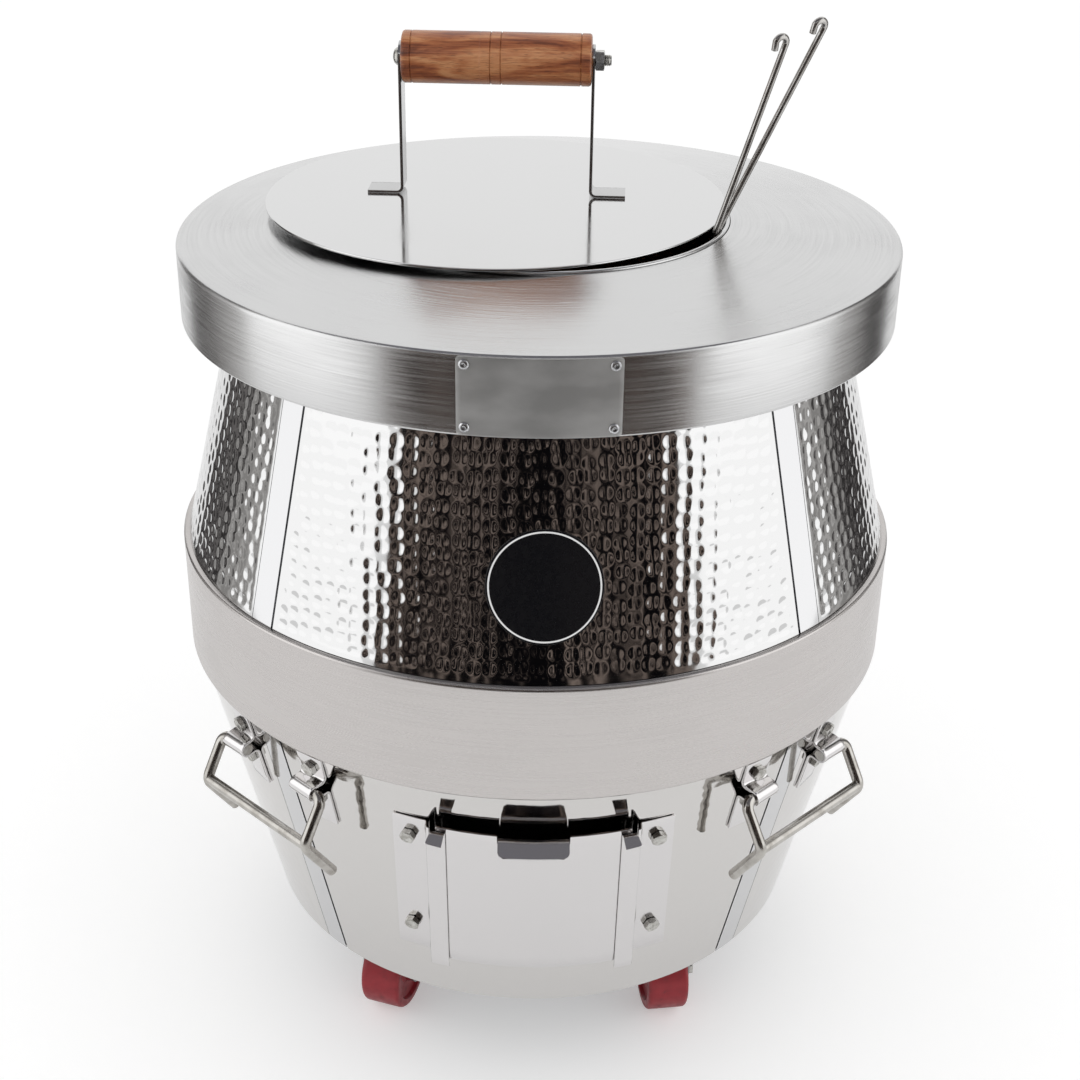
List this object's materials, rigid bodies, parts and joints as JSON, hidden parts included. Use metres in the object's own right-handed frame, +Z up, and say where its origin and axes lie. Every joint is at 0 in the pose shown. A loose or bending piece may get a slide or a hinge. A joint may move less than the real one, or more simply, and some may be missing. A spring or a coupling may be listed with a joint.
{
  "type": "clay tandoor oven",
  "caption": "Barrel-shaped steel tandoor with a clay pot inside, a lift-off lid, skewers, a sliding draught door, bail handles and swivel casters.",
  "frame": {"origin": "on the floor, on the axis of the pot and the barrel", "axes": "+Z up; -Y towards the front with the draught door and the plate; +X to the right seen from the front"},
  "size_m": [0.531, 0.5405, 0.7687],
  "materials": {
    "hammered_steel": "polished",
    "light_hammered_steel": "polished",
    "mirror_steel": "polished",
    "satin_steel": "satin",
    "mill_steel": "matte",
    "etched_plate": "satin",
    "rivet_aluminium": "satin",
    "badge_black": "gloss",
    "bolt_zinc": "polished",
    "handle_rod": "polished",
    "skewer_steel": "polished",
    "oiled_wood": "satin",
    "clay": "matte",
    "ceramic_fibre": "matte",
    "caster_zinc": "satin",
    "wheel_red": "satin"
  },
  "bodies": {
    "oven": {"top_cap": "satin_steel", "mouth_collar": "satin_steel", "upper_panel_front": "hammered_steel", "upper_panel_right": "hammered_steel", "upper_panel_back": "hammered_steel", "upper_panel_left": "hammered_steel", "upper_seam_strips": "mirror_steel", "belly_band": "satin_steel", "lower_panel_front": "light_hammered_steel", "lower_panel_right": "light_hammered_steel", "lower_panel_back": "light_hammered_steel", "lower_panel_left": "light_hammered_steel", "lower_seam_strips": "mirror_steel", "inner_frame": "mill_steel", "base_plate": "mill_steel", "clay_pot": "clay", "insulation": "ceramic_fibre", "draught_tunnel": "mill_steel", "door_guide_left": "satin_steel", "door_guide_right": "satin_steel", "door_guide_bolts": "bolt_zinc", "name_plate": "etched_plate", "plate_rivets": "rivet_aluminium", "front_badge": "badge_black", "handle_saddles": "satin_steel", "saddle_bolts": "bolt_zinc", "caster_plates": "caster_zinc", "caster_bolts": "bolt_zinc"},
    "lid": {"lid_plate": "satin_steel", "lid_strap_left": "satin_steel", "lid_strap_right": "satin_steel", "grip_bolt": "bolt_zinc", "grip_nut": "bolt_zinc"},
    "grip": {"lid_grip": "oiled_wood"},
    "skewer_short": {"skewer_short": "skewer_steel", "skewer_short_hook": "skewer_steel"},
    "skewer_long": {"skewer_long": "skewer_steel", "skewer_long_hook": "skewer_steel"},
    "draught_door": {"draught_door": "satin_steel"},
    "handle_front_left": {"handle_front_left": "handle_rod"},
    "handle_front_right": {"handle_front_right": "handle_rod"},
    "handle_rear_left": {"handle_rear_left": "handle_rod"},
    "handle_rear_right": {"handle_rear_right": "handle_rod"},
    "caster_front_left": {"caster_fork_front_left": "caster_zinc", "caster_axle_front_left": "caster_zinc"},
    "wheel_front_left": {"caster_wheel_front_left": "wheel_red"},
    "caster_front_right": {"caster_fork_front_right": "caster_zinc", "caster_axle_front_right": "caster_zinc"},
    "wheel_front_right": {"caster_wheel_front_right": "wheel_red"},
    "caster_rear_left": {"caster_fork_rear_left": "caster_zinc", "caster_axle_rear_left": "caster_zinc"},
    "wheel_rear_left": {"caster_wheel_rear_left": "wheel_red"},
    "caster_rear_right": {"caster_fork_rear_right": "caster_zinc", "caster_axle_rear_right": "caster_zinc"},
    "wheel_rear_right": {"caster_wheel_rear_right": "wheel_red"}
  },
  "joints": [
    {"name": "lid_lift", "type": "slide", "parent": "oven", "child": "lid", "axis": [0, 0, 1], "range_m": [0, 0.3]},
    {"name": "grip_spin", "type": "hinge", "parent": "lid", "child": "grip", "pos_m": [-0.03065, 0.03879, 0.7192], "axis": [0.9986, -0.0523, 0], "continuous": true},
    {"name": "skewer_short_pull", "type": "slide", "parent": "oven", "child": "skewer_short", "axis": [0.2675, -0.1032, 0.958], "range_m": [0, 0.55]},
    {"name": "skewer_long_pull", "type": "slide", "parent": "oven", "child": "skewer_long", "axis": [0.3786, -0.1238, 0.9172], "range_m": [0, 0.55]},
    {"name": "draught_door_slide", "type": "slide", "parent": "oven", "child": "draught_door", "axis": [0, -0.2279, 0.9737], "range_m": [0, 0.1]},
    {"name": "handle_front_left_hinge", "type": "hinge", "parent": "oven", "child": "handle_front_left", "pos_m": [-0.18407, -0.18731, 0.27627], "axis": [-0.7133, 0.7009, 0], "range_deg": [-14, 112]},
    {"name": "handle_front_right_hinge", "type": "hinge", "parent": "oven", "child": "handle_front_right", "pos_m": [0.18407, -0.18731, 0.27627], "axis": [-0.7133, -0.7009, 0], "range_deg": [-14, 112]},
    {"name": "handle_rear_left_hinge", "type": "hinge", "parent": "oven", "child": "handle_rear_left", "pos_m": [-0.18407, 0.18731, 0.27627], "axis": [0.7133, 0.7009, 0], "range_deg": [-14, 112]},
    {"name": "handle_rear_right_hinge", "type": "hinge", "parent": "oven", "child": "handle_rear_right", "pos_m": [0.18407, 0.18731, 0.27627], "axis": [0.7133, -0.7009, 0], "range_deg": [-14, 112]},
    {"name": "caster_front_left_swivel", "type": "hinge", "parent": "oven", "child": "caster_front_left", "pos_m": [-0.102, -0.089, 0.07], "axis": [0, 0, 1], "continuous": true},
    {"name": "wheel_front_left_roll", "type": "hinge", "parent": "caster_front_left", "child": "wheel_front_left", "pos_m": [-0.10916, -0.1098, 0.032], "axis": [0.9455, -0.3256, 0], "continuous": true},
    {"name": "caster_front_right_swivel", "type": "hinge", "parent": "oven", "child": "caster_front_right", "pos_m": [0.102, -0.089, 0.07], "axis": [0, 0, 1], "continuous": true},
    {"name": "wheel_front_right_roll", "type": "hinge", "parent": "caster_front_right", "child": "wheel_front_right", "pos_m": [0.10506, -0.11079, 0.032], "axis": [0.9903, 0.1392, 0], "continuous": true},
    {"name": "caster_rear_left_swivel", "type": "hinge", "parent": "oven", "child": "caster_rear_left", "pos_m": [-0.102, 0.089, 0.07], "axis": [0, 0, 1], "continuous": true},
    {"name": "wheel_rear_left_roll", "type": "hinge", "parent": "caster_rear_left", "child": "wheel_rear_left", "pos_m": [-0.09856, 0.11073, 0.032], "axis": [-0.9877, 0.1564, 0], "continuous": true},
    {"name": "caster_rear_right_swivel", "type": "hinge", "parent": "oven", "child": "caster_rear_right", "pos_m": [0.102, 0.089, 0.07], "axis": [0, 0, 1], "continuous": true},
    {"name": "wheel_rear_right_roll", "type": "hinge", "parent": "caster_rear_right", "child": "wheel_rear_right", "pos_m": [0.09305, 0.1091, 0.032], "axis": [-0.9135, -0.4067, 0], "continuous": true}
  ]
}
